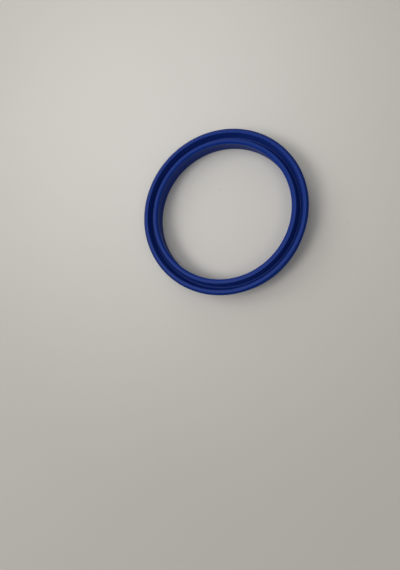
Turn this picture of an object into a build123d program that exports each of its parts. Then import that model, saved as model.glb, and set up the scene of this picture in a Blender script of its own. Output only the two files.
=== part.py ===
from build123d import *
import math
import os

# A u cup seal: one moulded polyurethane ring whose section is a solid heel
# with two flared lips over it. Lengths are in millimetres. Z is the ring's
# axis, z = 0 is the flat face of the heel, and the lips point up.

# The seat that the ring is made for
ROD_DIAMETER = 85.0  # the rod that the inner lip wipes
GROOVE_DEPTH = 7.5  # on the radius, from the rod out to the groove's bottom
SEAL_HEIGHT = 12.0  # from the heel's face to the tops of the lips

# The heel, which is a little narrower than its seat
HEEL_ROD_CLEARANCE = 0.4  # on the radius, between the heel and the rod
HEEL_GROOVE_CLEARANCE = 0.55  # on the radius, between the heel and the groove
HEEL_WALL_HEIGHT = 5.0  # of the straight walls under the lips
HEEL_CHAMFER = 0.4

# The lips, which stand past the rod and the groove until the ring is fitted
INNER_LIP_SQUEEZE = 0.9  # on the radius, of the free lip past the rod
OUTER_LIP_SQUEEZE = 1.1  # on the radius, of the free lip past the groove
LIP_EDGE_DROP = 0.95  # from the lip's top down to its sharp sealing edge
LAND_WIDTH = 1.6  # of the flat top of each lip
FLANK_BEND_RADIUS = 8.0  # of the soft bend from the heel's wall into the lip

# The hollow between the lips, a narrow v with a round root
MOUTH_WIDTH = 4.0
HOLLOW_DEPTH = 4.3
ROOT_RADIUS = 0.9
MOUTH_EDGE_BREAK = 0.15  # the small chamfer where each land meets the hollow

# Where those values put the section's corners
ROD_RADIUS = ROD_DIAMETER / 2
GROOVE_RADIUS = ROD_RADIUS + GROOVE_DEPTH
MID_RADIUS = (ROD_RADIUS + GROOVE_RADIUS) / 2
HEEL_INNER_RADIUS = ROD_RADIUS + HEEL_ROD_CLEARANCE
HEEL_OUTER_RADIUS = GROOVE_RADIUS - HEEL_GROOVE_CLEARANCE
INNER_LIP_RADIUS = ROD_RADIUS - INNER_LIP_SQUEEZE
OUTER_LIP_RADIUS = GROOVE_RADIUS + OUTER_LIP_SQUEEZE
LIP_EDGE_HEIGHT = SEAL_HEIGHT - LIP_EDGE_DROP
MOUTH_INNER_RADIUS = MID_RADIUS - MOUTH_WIDTH / 2
MOUTH_OUTER_RADIUS = MID_RADIUS + MOUTH_WIDTH / 2


def apex_height():
    """The height where the hollow's two flanks would meet below its round root."""
    half_mouth = MOUTH_WIDTH / 2
    root_centre_depth = HOLLOW_DEPTH - ROOT_RADIUS
    reach = math.hypot(half_mouth, root_centre_depth)
    lean = math.atan2(half_mouth, root_centre_depth) - math.asin(ROOT_RADIUS / reach)
    return SEAL_HEIGHT - half_mouth / math.tan(lean)


def section_corners():
    """The section's corners as (radius, height), up the outside and back down the inside."""
    return [
        (HEEL_INNER_RADIUS, 0),
        (HEEL_OUTER_RADIUS, 0),
        (HEEL_OUTER_RADIUS, HEEL_WALL_HEIGHT),
        (OUTER_LIP_RADIUS, LIP_EDGE_HEIGHT),
        (MOUTH_OUTER_RADIUS + LAND_WIDTH, SEAL_HEIGHT),
        (MOUTH_OUTER_RADIUS, SEAL_HEIGHT),
        (MID_RADIUS, apex_height()),
        (MOUTH_INNER_RADIUS, SEAL_HEIGHT),
        (MOUTH_INNER_RADIUS - LAND_WIDTH, SEAL_HEIGHT),
        (INNER_LIP_RADIUS, LIP_EDGE_HEIGHT),
        (HEEL_INNER_RADIUS, HEEL_WALL_HEIGHT),
    ]


def corner_at(section, radius, height):
    """The section's own corner nearest to a place."""
    return section.vertices().sort_by_distance((radius, height))[0]


def dress_section(section):
    """Rounds and chamfers the corners of the section that is being drawn."""
    fillet(corner_at(section, MID_RADIUS, apex_height()), ROOT_RADIUS)
    for radius in (HEEL_INNER_RADIUS, HEEL_OUTER_RADIUS):
        fillet(corner_at(section, radius, HEEL_WALL_HEIGHT), FLANK_BEND_RADIUS)
        chamfer(corner_at(section, radius, 0), HEEL_CHAMFER)
    for radius in (MOUTH_INNER_RADIUS, MOUTH_OUTER_RADIUS):
        chamfer(corner_at(section, radius, SEAL_HEIGHT), MOUTH_EDGE_BREAK)


def make_seal_ring():
    """The whole ring, turned from its section."""
    with BuildPart() as ring:
        with BuildSketch(Plane.XZ) as section:
            with BuildLine():
                Polyline(*section_corners(), close=True)
            make_face()
            dress_section(section)
        revolve(axis=Axis.Z)
    return ring.part


def main():
    """Makes the ring and writes it out."""
    os.makedirs("parts", exist_ok=True)
    export_step(make_seal_ring(), "parts/seal_ring.step")


main()
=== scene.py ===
import logging
import math
from dataclasses import dataclass, field
from enum import Enum
from typing import Any, Mapping, NamedTuple, Sequence, Union

import bpy
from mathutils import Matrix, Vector


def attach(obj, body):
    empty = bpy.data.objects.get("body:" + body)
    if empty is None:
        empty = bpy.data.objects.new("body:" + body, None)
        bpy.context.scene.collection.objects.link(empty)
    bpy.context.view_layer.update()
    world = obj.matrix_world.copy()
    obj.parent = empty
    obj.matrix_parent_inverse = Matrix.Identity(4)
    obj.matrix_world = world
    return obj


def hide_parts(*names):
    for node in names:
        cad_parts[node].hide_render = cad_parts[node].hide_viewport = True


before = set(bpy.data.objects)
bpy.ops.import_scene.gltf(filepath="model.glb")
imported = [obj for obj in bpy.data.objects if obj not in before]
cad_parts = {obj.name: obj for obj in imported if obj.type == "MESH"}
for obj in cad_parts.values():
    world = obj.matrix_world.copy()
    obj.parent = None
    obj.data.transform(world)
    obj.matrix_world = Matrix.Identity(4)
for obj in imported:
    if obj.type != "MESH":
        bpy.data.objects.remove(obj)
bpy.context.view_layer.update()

# A polyurethane u cup seal lying on its heel on a pale board, lips up. Sizes are in
# millimetres, and MM turns them into the scene's metres.

LOG = logging.getLogger("u_cup_seal")
MM = 0.001
PICTURE_LONG_SIDE = 570  # pixels
SENSOR = 36.0  # mm, across the picture's long side
WELD = 0.002  # mm, closer than which two points become one
EVEN = 0.5  # where a pattern lies on average, and the share that mixes two colours evenly

Colour = tuple[float, float, float]
Tint = tuple[float, float, float, float]
Place = tuple[float, float, float]


class Corner(NamedTuple):
    """A corner of the section in millimetres, with the radius that rounds it."""

    radius: float
    height: float
    rounding: float


class Arc(NamedTuple):
    """A rounded corner: where it starts and ends, its centre, and how far it turns."""

    start: Vector
    end: Vector
    centre: Vector
    turn: float


class Span(NamedTuple):
    """Where a soft border starts and where it ends."""

    start: float
    end: float


class Mottle(NamedTuple):
    """How coarse a cloudy pattern is.

    The scale is its patches to the metre, or to the unit of what it is read on, and the
    layers are finer clouds on the first ones.
    """

    scale: float
    layers: float


class LampPart(Enum):
    """Where a lamp hangs, as seen from the seal."""

    OVERHEAD = "overhead_lamp"
    LEFT_KEY = "left_key_lamp"
    LEFT_LOW = "left_low_lamp"
    BACK = "back_lamp"
    BACK_LOW = "back_low_lamp"
    RIGHT_FILL = "right_fill_lamp"


class Signal:
    """A shader value that takes part in Python sums."""

    def __init__(self, sheet: "Sheet", socket: bpy.types.NodeSocket) -> None:
        """Keeps the socket and the sheet that it is on."""
        self.sheet = sheet
        self.socket = socket

    def __add__(self, other: "Number") -> "Signal":
        """Adds."""
        return self.sheet.maths("ADD", self, other)

    def __radd__(self, other: "Number") -> "Signal":
        """Adds to a number."""
        return self.sheet.maths("ADD", other, self)

    def __sub__(self, other: "Number") -> "Signal":
        """Subtracts."""
        return self.sheet.maths("SUBTRACT", self, other)

    def __rsub__(self, other: "Number") -> "Signal":
        """Is subtracted from a number."""
        return self.sheet.maths("SUBTRACT", other, self)

    def __mul__(self, other: "Number") -> "Signal":
        """Multiplies."""
        return self.sheet.maths("MULTIPLY", self, other)

    def __rmul__(self, other: "Number") -> "Signal":
        """Multiplies a number."""
        return self.sheet.maths("MULTIPLY", other, self)

    def __truediv__(self, other: "Number") -> "Signal":
        """Divides."""
        return self.sheet.maths("DIVIDE", self, other)

    def __rtruediv__(self, other: "Number") -> "Signal":
        """Divides a number."""
        return self.sheet.maths("DIVIDE", other, self)

    def __pow__(self, other: "Number") -> "Signal":
        """Raises to a power."""
        return self.sheet.maths("POWER", self, other)

    def __rpow__(self, other: "Number") -> "Signal":
        """Is the power that a number is raised to."""
        return self.sheet.maths("POWER", other, self)

    def __abs__(self) -> "Signal":
        """Drops the sign."""
        return self.sheet.maths("ABSOLUTE", self)


Number = Union[float, Signal]
Shade = Union[Tint, Signal]


def opaque(colour: Colour) -> Tint:
    """Gives a colour its alpha of one."""
    return (*colour, 1.0)


def swing(pattern: Signal, amount: float) -> Signal:
    """Turns a pattern about one half into one about zero, and sets how far it reaches."""
    return (pattern - EVEN) * amount


class Sheet:
    """The node sheet of a material or of the world."""

    OUTPUTS = {"MATERIAL": "ShaderNodeOutputMaterial", "WORLD": "ShaderNodeOutputWorld"}
    FIRST_COLOUR = 6  # among the sockets that a Mix node takes
    SECOND_COLOUR = 7
    MIXED_COLOUR = 2  # among those that it gives
    RELIEF_HEIGHT = 0.02  # mm, that a relief of 1 stands up
    RELIEF_STRENGTH = 0.35  # the share of it that shows

    def __init__(self, owner: Union[bpy.types.Material, bpy.types.World]) -> None:
        """Clears the owner's sheet."""
        owner.use_nodes = True
        self.output = self.OUTPUTS[owner.id_type]
        self.tree = owner.node_tree
        self.tree.nodes.clear()

    def node(
        self,
        kind: str,
        settings: Mapping[str, Any],
        values: Mapping[Union[int, str], Any],
    ) -> bpy.types.Node:
        """Adds a node.

        Args:
            kind: The node's type.
            settings: Its own settings, which are set first.
            values: A number, colour or Signal for each socket, by index or name.

        Returns:
            The new node.
        """
        made = self.tree.nodes.new(kind)
        for name, value in settings.items():
            setattr(made, name, value)
        for key, value in values.items():
            if isinstance(value, Signal):
                self.tree.links.new(value.socket, made.inputs[key])
            else:
                made.inputs[key].default_value = value
        return made

    def maths(self, operation: str, *values: Number) -> Signal:
        """Works one sum.

        Args:
            operation: The Math node's operation.
            values: Its terms.

        Returns:
            The result.
        """
        terms = dict(enumerate(values))
        made = self.node("ShaderNodeMath", {"operation": operation}, terms)
        return Signal(self, made.outputs[0])

    def past(self, value: Signal, border: Span, line: float = 0.0) -> Signal:
        """Eases from 0 before a soft border to 1 past it.

        Args:
            value: What is measured.
            border: The soft border, counted from the line.
            line: Where the line is.

        Returns:
            A value from 0 to 1.
        """
        settings = {"interpolation_type": "SMOOTHSTEP", "clamp": True}
        ends = {"Value": value, "From Min": line + border.start, "From Max": line + border.end}
        made = self.node("ShaderNodeMapRange", settings, ends)
        return Signal(self, made.outputs[0])

    def mixed(self, share: Number, first: Shade, second: Shade) -> Signal:
        """Mixes two colours.

        Args:
            share: How much of the second colour there is.
            first: The first colour.
            second: The second colour.

        Returns:
            The mixed colour.
        """
        settings = {"data_type": "RGBA", "clamp_factor": True}
        values = {0: share, self.FIRST_COLOUR: first, self.SECOND_COLOUR: second}
        made = self.node("ShaderNodeMix", settings, values)
        return Signal(self, made.outputs[self.MIXED_COLOUR])

    def position(self) -> tuple[Signal, Signal, Signal, Signal]:
        """Reads the place on the piece.

        Returns:
            The place as a vector in metres, and its x, y and z in millimetres.
        """
        vector = Signal(self, self.node("ShaderNodeTexCoord", {}, {}).outputs["Object"])
        enlarging = {"Vector": vector, "Scale": 1.0 / MM}
        enlarged = self.node("ShaderNodeVectorMath", {"operation": "SCALE"}, enlarging)
        measured = Signal(self, enlarged.outputs[0])
        x, y, z = self.node("ShaderNodeSeparateXYZ", {}, {0: measured}).outputs
        return vector, Signal(self, x), Signal(self, y), Signal(self, z)

    def noise(self, vector: Signal, mottle: Mottle, fourth: Number = 0.0) -> Signal:
        """Makes a soft cloudy pattern.

        Args:
            vector: Where it is read.
            mottle: How coarse it is.
            fourth: A fourth coordinate, which also picks another pattern.

        Returns:
            A value about one half, mostly between 0.3 and 0.7.
        """
        values = {
            "Vector": vector,
            "W": fourth,
            "Scale": mottle.scale,
            "Detail": mottle.layers,
        }
        made = self.node("ShaderNodeTexNoise", {"noise_dimensions": "4D"}, values)
        return Signal(self, made.outputs[0])

    def skin(
        self,
        colour: Signal,
        rough: Number,
        relief: Signal,
        specular: float,
        alpha: Number = 1.0,
    ) -> Signal:
        """Makes a surface with a fine relief.

        Args:
            colour: Its colour.
            rough: Its roughness.
            relief: Its height, where 1 is RELIEF_HEIGHT.
            specular: How strongly it mirrors.
            alpha: How opaque it is.

        Returns:
            The surface.
        """
        bumps = {
            "Strength": self.RELIEF_STRENGTH,
            "Distance": self.RELIEF_HEIGHT * MM,
            "Height": relief,
        }
        bump = self.node("ShaderNodeBump", {}, bumps)
        values = {
            "Base Color": colour,
            "Roughness": rough,
            "Normal": Signal(self, bump.outputs[0]),
            "Specular IOR Level": specular,
            "Alpha": alpha,
        }
        made = self.node("ShaderNodeBsdfPrincipled", {}, values)
        return Signal(self, made.outputs[0])

    def blended(self, share: Signal, first: Signal, second: Signal) -> Signal:
        """Passes from one surface to another.

        Args:
            share: How much of the second surface there is.
            first: The first surface.
            second: The second surface.

        Returns:
            The blended surface.
        """
        made = self.node("ShaderNodeMixShader", {}, {0: share, 1: first, 2: second})
        return Signal(self, made.outputs[0])

    def finish(self, surface: Signal) -> None:
        """Puts a surface, or the world's background, on the output."""
        self.node(self.output, {}, {0: surface})


class RingPlace(NamedTuple):
    """A place on the ring as a turned part is measured.

    Radius and height are in millimetres. The lap is a vector that changes slowly round the
    ring and quickly up its section.
    """

    position: Signal
    radius: Signal
    height: Signal
    lap: Signal


class Zones(NamedTuple):
    """How far a place belongs to each part of the section, from 0 to 1."""

    bevels: Signal
    outside: Signal
    flanks: Signal
    root: Signal
    bore: Signal
    heel: Signal


class Patterns(NamedTuple):
    """The patterns that vary the skin, about one half, and the dust, from 0 to 1."""

    clouds: Signal
    flow: Signal
    grain: Signal
    dust: Signal


@dataclass(frozen=True)
class MouldedPolyurethane:
    """Deep blue cast elastomer: a satin skin, bevels finished by a knife, and matt faces.

    The hollow and the bore stay matt from the mould and mirror less, and their colour there is
    painted light: a painted haze on the hollow's flanks and a painted reflection of the board
    on the bore's inner face. The outer bevels and the hollow's root are darkened by painted
    shade.
    The section's own sizes say where each of them lies, and each border says over which
    millimetres it comes in, counted from the size that it belongs to.
    """

    middle: float
    mouth_reach: float
    land_reach: float
    edge_height: float
    bend_height: float
    root_height: float
    deep: Colour = (0.0010, 0.0195, 0.160)
    bright: Colour = (0.0016, 0.0250, 0.198)
    # painted shade on the outer bevels
    bevel_shade: Colour = (0.0008, 0.0165, 0.135)
    # painted light: a haze on the hollow's flanks
    hollow_haze: Colour = (0.0105, 0.0275, 0.174)
    # painted reflection of the board on the bore's upper part
    bore_reflection: Colour = (0.0050, 0.0290, 0.214)
    # painted light, greyer, on the bore's lower part
    heel_light: Colour = (0.0170, 0.0370, 0.196)
    # painted shade in the hollow's root
    root: Colour = (0.0012, 0.0165, 0.134)
    dust: Colour = (0.30, 0.31, 0.34)
    edge_border: Span = Span(-0.03, 0.03)
    land_border: Span = Span(-0.05, 0.05)
    mouth_border: Span = Span(-0.3, 0.0)
    root_border: Span = Span(0.0, 1.0)
    film_border: Span = Span(-0.6, 0.0)
    bend_border: Span = Span(-2.0, 1.0)
    inner_border: Span = Span(-2.0, -1.0)
    outer_border: Span = Span(0.0, 1.0)
    clouds: Mottle = Mottle(scale=55.0, layers=3.0)
    flow: Mottle = Mottle(scale=2.2, layers=4.0)
    flow_stretch: float = 3.0  # across the section, to the millimetre
    grain: Mottle = Mottle(scale=2600.0, layers=2.0)
    specks: Mottle = Mottle(scale=1500.0, layers=1.0)
    speck_pattern: float = 7.0  # sets the specks apart from the grain and the clouds
    speck_levels: Span = Span(0.72, 0.80)
    dusty_clouds: Span = Span(0.45, 0.60)
    cloud_tone: float = 0.9
    flow_tone: float = 0.7
    grain_tone: float = 0.35
    # how much painted light the hollow and the bore get, and how patchy it is
    lift_cover: float = 0.85
    lift_patches: float = 1.2
    dust_cover: float = 0.35
    roughness: float = 0.42
    flow_roughness: float = 0.16
    grain_roughness: float = 0.12
    dust_roughness: float = 0.2
    specular: float = 0.165
    cut_specular: float = 0.09
    powder_specular: float = 0.055
    grain_depth: float = 0.7
    flow_depth: float = 0.5
    turning_pitch: float = 0.16  # mm
    turning_depth: float = 0.24

    def ring_place(self, sheet: Sheet) -> RingPlace:
        """Reads the place on the ring.

        Args:
            sheet: The material's sheet.

        Returns:
            The place.
        """
        position, x, y, z = sheet.position()
        radius = (x * x + y * y) ** 0.5
        slow = {0: x / radius, 1: y / radius, 2: z * self.flow_stretch}
        lap = sheet.node("ShaderNodeCombineXYZ", {}, slow).outputs[0]
        return RingPlace(position, radius, z, Signal(sheet, lap))

    def zones(self, sheet: Sheet, place: RingPlace) -> Zones:
        """Marks the parts of the section.

        Args:
            sheet: The material's sheet.
            place: The place on the ring.

        Returns:
            The parts, each with a soft border.
        """
        from_middle = place.radius - self.middle
        off_middle = abs(from_middle)
        above_edge = sheet.past(place.height, self.edge_border, self.edge_height)
        past_land = sheet.past(off_middle, self.land_border, self.land_reach)
        hollow = 1.0 - sheet.past(off_middle, self.mouth_border, self.mouth_reach)
        flanks = hollow * sheet.past(place.height, self.root_border, self.root_height)
        under_edge = 1.0 - sheet.past(place.height, self.film_border, self.edge_height)
        inside = 1.0 - sheet.past(from_middle, self.inner_border)
        return Zones(
            bevels=above_edge * past_land,
            outside=sheet.past(from_middle, self.outer_border),
            flanks=flanks,
            root=hollow - flanks,
            bore=under_edge * inside * (1.0 - hollow),
            heel=1.0 - sheet.past(place.height, self.bend_border, self.bend_height),
        )

    def patterns(self, sheet: Sheet, place: RingPlace) -> Patterns:
        """Makes the patterns.

        Args:
            sheet: The material's sheet.
            place: The place on the ring.

        Returns:
            Broad clouds, the flow of the cast round the ring, a fine grain, and dust.
        """
        clouds = sheet.noise(place.position, self.clouds)
        specks = sheet.noise(place.position, self.specks, self.speck_pattern)
        dusty = sheet.past(clouds, self.dusty_clouds)
        return Patterns(
            clouds=clouds,
            flow=sheet.noise(place.lap, self.flow, place.radius * self.flow_stretch),
            grain=sheet.noise(place.position, self.grain),
            dust=sheet.past(specks, self.speck_levels) * dusty,
        )

    def colour(self, sheet: Sheet, zones: Zones, patterns: Patterns) -> Signal:
        """Paints the ring.

        Args:
            sheet: The material's sheet.
            zones: The parts of the section.
            patterns: The patterns.

        Returns:
            The colour.
        """
        moulded = swing(patterns.clouds, self.cloud_tone) + swing(patterns.flow, self.flow_tone)
        tone = moulded + swing(patterns.grain, self.grain_tone) + EVEN
        # painted light: how strongly the haze and the reflection are painted, in patches
        painted_lift = swing(patterns.clouds, self.lift_patches) + self.lift_cover
        body = sheet.mixed(tone, opaque(self.deep), opaque(self.bright))
        # painted shade in the hollow's root
        rooted = sheet.mixed(zones.root, body, opaque(self.root))
        hazed = sheet.mixed(zones.flanks * painted_lift, rooted, opaque(self.hollow_haze))
        # painted reflection and painted light on the inside of the bore
        painted_wall_light = sheet.mixed(zones.heel, opaque(self.bore_reflection), opaque(self.heel_light))
        bore_lifted = sheet.mixed(zones.bore * painted_lift, hazed, painted_wall_light)
        # painted shade on the outer bevels
        bevel_shaded = sheet.mixed(zones.bevels * zones.outside, bore_lifted, opaque(self.bevel_shade))
        return sheet.mixed(patterns.dust * self.dust_cover, bevel_shaded, opaque(self.dust))

    def relief(self, sheet: Sheet, place: RingPlace, patterns: Patterns) -> Signal:
        """Makes the fine relief: grain, flow and the lines that turning left.

        Args:
            sheet: The material's sheet.
            place: The place on the ring.
            patterns: The patterns.

        Returns:
            The relief's height.
        """
        turns = (place.radius + place.height) * math.tau / self.turning_pitch
        lines = sheet.maths("SINE", turns) * patterns.flow * self.turning_depth
        skin = swing(patterns.grain, self.grain_depth) + swing(patterns.flow, self.flow_depth)
        return skin + lines

    def rough(self, patterns: Patterns) -> Signal:
        """Makes the roughness: an uneven satin, with the dust duller on it.

        Args:
            patterns: The patterns.

        Returns:
            The roughness.
        """
        satin = self.roughness + swing(patterns.flow, self.flow_roughness)
        uneven = satin + swing(patterns.grain, self.grain_roughness)
        return uneven + patterns.dust * self.dust_roughness

    def material(self) -> bpy.types.Material:
        """Builds the finish.

        Returns:
            The material.
        """
        material = bpy.data.materials.new("blue_polyurethane_skin")
        sheet = Sheet(material)
        place = self.ring_place(sheet)
        zones = self.zones(sheet, place)
        patterns = self.patterns(sheet, place)
        colour = self.colour(sheet, zones, patterns)
        relief = self.relief(sheet, place, patterns)
        rough = self.rough(patterns)
        smooth = sheet.skin(colour, rough, relief, self.specular)
        sliced = sheet.skin(colour, rough, relief, self.cut_specular)
        matt = sheet.skin(colour, rough, relief, self.powder_specular)
        bare = sheet.blended(zones.bevels, smooth, sliced)
        sheet.finish(sheet.blended(zones.flanks + zones.bore, bare, matt))
        return material


@dataclass(frozen=True)
class PaleBoard:
    """A matt painted board with a very fine grain and a few faint dots.

    A pool of light is painted on it round one spot, and painted shade darkens it away from
    there, and far out it fades into the room's own pale colour. The spot's border and the
    fade are in millimetres from the spot and from the axis.
    """

    pale: Colour = (0.624, 0.607, 0.572)
    # painted shade: the board's colour away from its painted pool of light
    painted_falloff: Colour = (0.462, 0.443, 0.405)
    spot: tuple[float, float] = (-38.0, 69.0)
    spot_border: Span = Span(0.0, 260.0)
    stain: Colour = (0.300, 0.290, 0.270)
    stain_cover: float = 0.25
    fade: Span = Span(300.0, 850.0)
    clouds: Mottle = Mottle(scale=9.0, layers=3.0)
    grain: Mottle = Mottle(scale=1400.0, layers=3.0)
    dots: Mottle = Mottle(scale=260.0, layers=1.0)
    dot_levels: Span = Span(0.74, 0.80)
    cloud_tone: float = 0.14
    grain_tone: float = 0.10
    roughness: float = 0.75
    grain_roughness: float = 0.2
    specular: float = 0.3

    def material(self) -> bpy.types.Material:
        """Builds the finish.

        Returns:
            The material.
        """
        material = bpy.data.materials.new("pale_board")
        sheet = Sheet(material)
        position, x, y, _ = sheet.position()
        clouds = sheet.noise(position, self.clouds)
        grain = sheet.noise(position, self.grain)
        right = x - self.spot[0]
        back = y - self.spot[1]
        # a painted pool of light round the spot, with painted shade away from it
        away = sheet.past((right * right + back * back) ** 0.5, self.spot_border)
        shade = away + swing(clouds, self.cloud_tone) + swing(grain, self.grain_tone)
        clean = sheet.mixed(shade, opaque(self.pale), opaque(self.painted_falloff))
        dots = sheet.past(sheet.noise(position, self.dots), self.dot_levels)
        colour = sheet.mixed(dots * self.stain_cover, clean, opaque(self.stain))
        rough = self.roughness + swing(grain, self.grain_roughness)
        reach = (x * x + y * y) ** 0.5
        alpha = 1.0 - sheet.past(reach, self.fade)
        sheet.finish(sheet.skin(colour, rough, grain, self.specular, alpha))
        return material


class Pen:
    """Draws a section in the xz plane, as one chain of points of a new mesh."""

    HOLD = 0.04  # mm from a corner's rounding to the point that holds the flat
    HELD_SIDE = 0.16  # mm, over which a side is long enough for such points
    FEWEST_STEPS = 2  # in a rounded corner

    def __init__(self, name: str, start: Vector) -> None:
        """Puts down the first point.

        Args:
            name: The new object's name.
            start: Where the chain starts, in millimetres.
        """
        bpy.ops.object.select_all(action="DESELECT")
        bpy.ops.mesh.primitive_plane_add(size=MM, location=start * MM)
        self.piece = bpy.context.object
        self.piece.name = name
        bpy.ops.object.transform_apply(location=True, rotation=True, scale=True)
        bpy.ops.object.mode_set(mode="EDIT")
        bpy.ops.mesh.select_mode(type="VERT")
        bpy.ops.mesh.select_all(action="SELECT")
        bpy.ops.mesh.merge(type="CENTER")
        self.at = start

    def line_to(self, place: Vector) -> None:
        """Draws a straight side, with a point close to each end of a long one.

        Args:
            place: Where the side ends, in millimetres.
        """
        side = place - self.at
        stops = [place]
        if side.length > self.HELD_SIDE:
            hold = side.normalized() * self.HOLD
            stops = [self.at + hold, place - hold, place]
        for stop in stops:
            move = (stop - self.at) * MM
            bpy.ops.mesh.extrude_vertices_move(TRANSFORM_OT_translate={"value": move})
            self.at = stop

    def turn(self, arc: Arc, degrees_to_a_step: float) -> None:
        """Draws a rounded corner.

        Args:
            arc: The corner's arc.
            degrees_to_a_step: How far each short side of it turns.
        """
        wanted = round(abs(math.degrees(arc.turn)) / degrees_to_a_step)
        bpy.ops.mesh.spin(
            steps=max(self.FEWEST_STEPS, wanted),
            angle=arc.turn,
            center=arc.centre * MM,
            axis=(0.0, 1.0, 0.0),
        )
        self.at = arc.end

    def spin_round(self, steps: int) -> bpy.types.Object:
        """Closes the chain and turns it round the z axis.

        Args:
            steps: How many sides the turned piece has.

        Returns:
            The closed piece, with its faces pointing outwards.
        """
        bpy.ops.mesh.select_all(action="SELECT")
        bpy.ops.mesh.remove_doubles(threshold=WELD * MM)
        bpy.ops.mesh.spin(
            steps=steps,
            angle=math.tau,
            center=(0.0, 0.0, 0.0),
            axis=(0.0, 0.0, 1.0),
        )
        bpy.ops.mesh.select_all(action="SELECT")
        bpy.ops.mesh.remove_doubles(threshold=WELD * MM)
        bpy.ops.mesh.normals_make_consistent(inside=False)
        bpy.ops.object.mode_set(mode="OBJECT")
        return self.piece


def coat(piece: bpy.types.Object, material: bpy.types.Material) -> None:
    """Gives a piece its one material."""
    piece.data.materials.clear()
    piece.data.materials.append(material)


def rounded(corners: Sequence[Corner]) -> list[Arc]:
    """Rounds the corners of a closed section.

    Args:
        corners: The corners in order.

    Returns:
        The arc at each corner.
    """
    places = [Vector((c.radius, 0.0, c.height)) for c in corners]
    arcs = []
    for index, corner in enumerate(corners):
        here = places[index]
        before = (here - places[index - 1]).normalized()
        after = (places[(index + 1) % len(places)] - here).normalized()
        turn = math.atan2(before.x * after.z - before.z * after.x, before.dot(after))
        reach = corner.rounding * math.tan(abs(turn) / 2)
        side = Vector((-before.z, 0.0, before.x)) * math.copysign(corner.rounding, turn)
        start = here - before * reach
        arcs.append(Arc(start, here + after * reach, start + side, turn))
    return arcs


@dataclass
class SealRing:
    """The seal: a heel with two flared lips over it, moulded in one."""

    rod_radius: float = 42.5
    groove_radius: float = 50.0
    height: float = 12.0
    heel_rod_clearance: float = 0.4
    heel_groove_clearance: float = 0.55
    heel_wall_height: float = 5.0
    heel_rounding: float = 0.4
    inner_squeeze: float = 0.9
    outer_squeeze: float = 1.1
    edge_drop: float = 0.95
    edge_rounding: float = 0.05
    land_width: float = 1.6
    land_rounding: float = 0.15
    bend_radius: float = 8.0
    mouth_width: float = 4.0
    mouth_rounding: float = 0.16
    hollow_depth: float = 4.3
    root_radius: float = 0.9
    sides: int = 360
    degrees_to_a_step: float = 12.0
    piece: bpy.types.Object = field(init=False)

    @property
    def middle(self) -> float:
        """The radius halfway between the rod and the groove."""
        return (self.rod_radius + self.groove_radius) / 2

    @property
    def inner_edge(self) -> float:
        """The free inner lip's radius."""
        return self.rod_radius - self.inner_squeeze

    @property
    def outer_edge(self) -> float:
        """The free outer lip's radius."""
        return self.groove_radius + self.outer_squeeze

    @property
    def edge_height(self) -> float:
        """The height of the sealing edges."""
        return self.height - self.edge_drop

    def apex_height(self) -> float:
        """Works out where the hollow's flanks would meet below its root.

        Returns:
            The height in millimetres.
        """
        half = self.mouth_width / 2
        depth = self.hollow_depth - self.root_radius
        lean = math.atan2(half, depth) - math.asin(self.root_radius / math.hypot(half, depth))
        return self.height - half / math.tan(lean)

    def corners(self) -> list[Corner]:
        """Lists the section's corners.

        Returns:
            The corners, up the outside and back down the inside.
        """
        mouth_in = self.middle - self.mouth_width / 2
        mouth_out = self.middle + self.mouth_width / 2
        heel_in = self.rod_radius + self.heel_rod_clearance
        heel_out = self.groove_radius - self.heel_groove_clearance
        return [
            Corner(heel_in, 0.0, self.heel_rounding),
            Corner(heel_out, 0.0, self.heel_rounding),
            Corner(heel_out, self.heel_wall_height, self.bend_radius),
            Corner(self.outer_edge, self.edge_height, self.edge_rounding),
            Corner(mouth_out + self.land_width, self.height, self.land_rounding),
            Corner(mouth_out, self.height, self.mouth_rounding),
            Corner(self.middle, self.apex_height(), self.root_radius),
            Corner(mouth_in, self.height, self.mouth_rounding),
            Corner(mouth_in - self.land_width, self.height, self.land_rounding),
            Corner(self.inner_edge, self.edge_height, self.edge_rounding),
            Corner(heel_in, self.heel_wall_height, self.bend_radius),
        ]

    def build(self) -> None:
        """Draws the section and turns it into the ring."""
        arcs = rounded(self.corners())
        pen = Pen("moulded_seal_ring", arcs[0].end)
        for arc in arcs[1:] + arcs[:1]:
            pen.line_to(arc.start)
            pen.turn(arc, self.degrees_to_a_step)
        self.piece = pen.spin_round(self.sides)
        bpy.ops.object.shade_smooth()

    def dress(self) -> None:
        """Gives the ring its finish."""
        mouth_reach = self.mouth_width / 2
        finish = MouldedPolyurethane(
            middle=self.middle,
            mouth_reach=mouth_reach,
            land_reach=mouth_reach + self.land_width,
            edge_height=self.edge_height,
            bend_height=self.heel_wall_height,
            root_height=self.height - self.hollow_depth,
        )
        coat(self.piece, finish.material())

    def fit(self) -> None:
        """Says what the ring stands for and what it moves with."""
        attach(self.piece, "root")
        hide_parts("seal_ring")


@dataclass
class Board:
    """The pale board that the seal lies on."""

    radius: float = 900.0
    thickness: float = 18.0
    edge: float = 3.0
    edge_steps: int = 3
    sides: int = 128
    piece: bpy.types.Object = field(init=False)

    def build(self) -> None:
        """Makes the board with softened edges, its top at z = 0."""
        bpy.ops.object.select_all(action="DESELECT")
        middle = (0.0, 0.0, -self.thickness / 2 * MM)
        bpy.ops.mesh.primitive_cylinder_add(
            vertices=self.sides,
            radius=self.radius * MM,
            depth=self.thickness * MM,
            location=middle,
        )
        self.piece = bpy.context.object
        self.piece.name = "pale_board"
        bpy.ops.object.transform_apply(location=True, rotation=True, scale=True)
        bpy.ops.object.mode_set(mode="EDIT")
        bpy.ops.mesh.select_all(action="SELECT")
        bpy.ops.mesh.bevel(offset=self.edge * MM, segments=self.edge_steps, affect="EDGES")
        bpy.ops.object.mode_set(mode="OBJECT")

    def dress(self) -> None:
        """Gives the board its finish."""
        coat(self.piece, PaleBoard().material())

    def fit(self) -> None:
        """Says that the board is no part of the seal."""


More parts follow.
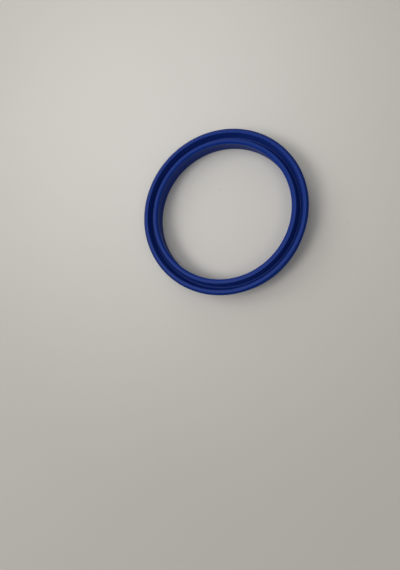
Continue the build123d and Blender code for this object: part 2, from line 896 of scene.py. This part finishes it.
@dataclass(frozen=True)
class Lamp:
    """A soft round lamp that faces the seal.

    Its azimuth is counted from the x axis and its zenith from straight up, and its spread
    is the angle that it fills as seen from the seal, all in degrees. Its share is its part
    of all the light that falls on the board, where a share of 1 in all shows every colour
    as it is written. Straight above the board that takes a power of the square of pi times
    the distance in metres, and more as the lamp leans.
    """

    part: LampPart
    azimuth: float
    zenith: float
    share: float
    distance: float
    spread: float = 30.0

    def build(self) -> None:
        """Hangs the lamp."""
        reach = self.distance * MM
        azimuth = math.radians(self.azimuth)
        zenith = math.radians(self.zenith)
        flat = math.sin(zenith)
        towards = Vector((flat * math.cos(azimuth), flat * math.sin(azimuth), math.cos(zenith)))
        data = bpy.data.lights.new(self.part.value, "AREA")
        data.shape = "DISK"
        data.size = 2.0 * reach * math.tan(math.radians(self.spread) / 2)
        data.energy = self.share * (math.pi * reach) ** 2 / math.cos(zenith)
        lamp = bpy.data.objects.new(self.part.value, data)
        bpy.context.scene.collection.objects.link(lamp)
        lamp.location = towards * reach
        lamp.rotation_euler = towards.to_track_quat("Z", "Y").to_euler()
        lamp.visible_camera = False


@dataclass(frozen=True)
class Camera:
    """The camera, at the photograph's angle to the ring.

    Its angles are in degrees, and its focal length is in pixels of the picture.
    """

    place: Place = (68.946, -68.016, 246.246)
    angles: Place = (6.3242, 18.3978, 3.4172)
    focal_pixels: float = 415.92
    nearest: float = 1.0

    def build(self) -> None:
        """Sets up the camera, makes it the scene's own and shows colours as they are."""
        data = bpy.data.cameras.new("view")
        data.sensor_width = SENSOR
        data.lens = self.focal_pixels / PICTURE_LONG_SIDE * SENSOR
        data.clip_start = self.nearest * MM
        data.dof.use_dof = False
        camera = bpy.data.objects.new("view", data)
        camera.location = Vector(self.place) * MM
        camera.rotation_euler = [math.radians(angle) for angle in self.angles]
        scene = bpy.context.scene
        scene.collection.objects.link(camera)
        scene.camera = camera
        scene.view_settings.view_transform = "Standard"


@dataclass(frozen=True)
class Room:
    """The even light of the room, and the pale walls that show behind the board."""

    colour: Colour = (1.0, 0.99, 0.96)
    light: float = 0.20
    seen: float = 0.52

    def build(self) -> None:
        """Sets the world's light."""
        world = bpy.data.worlds.new("room")
        sheet = Sheet(world)
        rays = sheet.node("ShaderNodeLightPath", {}, {}).outputs
        camera = Signal(sheet, rays["Is Camera Ray"])
        glossy = Signal(sheet, rays["Is Glossy Ray"])
        transmission = Signal(sheet, rays["Is Transmission Ray"])
        looking = sheet.maths("MINIMUM", camera + glossy + transmission, 1.0)
        strength = self.light + looking * (self.seen - self.light)
        values = {"Color": opaque(self.colour), "Strength": strength}
        background = sheet.node("ShaderNodeBackground", {}, values)
        sheet.finish(Signal(sheet, background.outputs[0]))
        bpy.context.scene.world = world


LAMPS = (
    Lamp(LampPart.OVERHEAD, azimuth=130.0, zenith=8.0, share=0.13, distance=600.0),
    Lamp(LampPart.LEFT_KEY, azimuth=206.0, zenith=34.0, share=0.30, distance=1500.0),
    Lamp(LampPart.LEFT_LOW, azimuth=168.0, zenith=54.0, share=0.14, distance=800.0),
    Lamp(LampPart.BACK, azimuth=120.0, zenith=35.0, share=0.04, distance=700.0),
    Lamp(LampPart.BACK_LOW, azimuth=120.0, zenith=72.0, share=0.05, distance=700.0),
    Lamp(LampPart.RIGHT_FILL, azimuth=330.0, zenith=35.0, share=0.13, distance=1500.0),
)


def report(piece: bpy.types.Object) -> None:
    """Logs a finished piece's size."""
    LOG.info("%s: %d faces", piece.name, len(piece.data.polygons))


def main() -> None:
    """Builds the set and the seal."""
    logging.basicConfig(level=logging.INFO, format="%(message)s")
    Camera().build()
    Room().build()
    for lamp in LAMPS:
        lamp.build()
    for part in (Board(), SealRing()):
        part.build()
        part.dress()
        part.fit()
        report(part.piece)


if __name__ == "__main__":
    main()
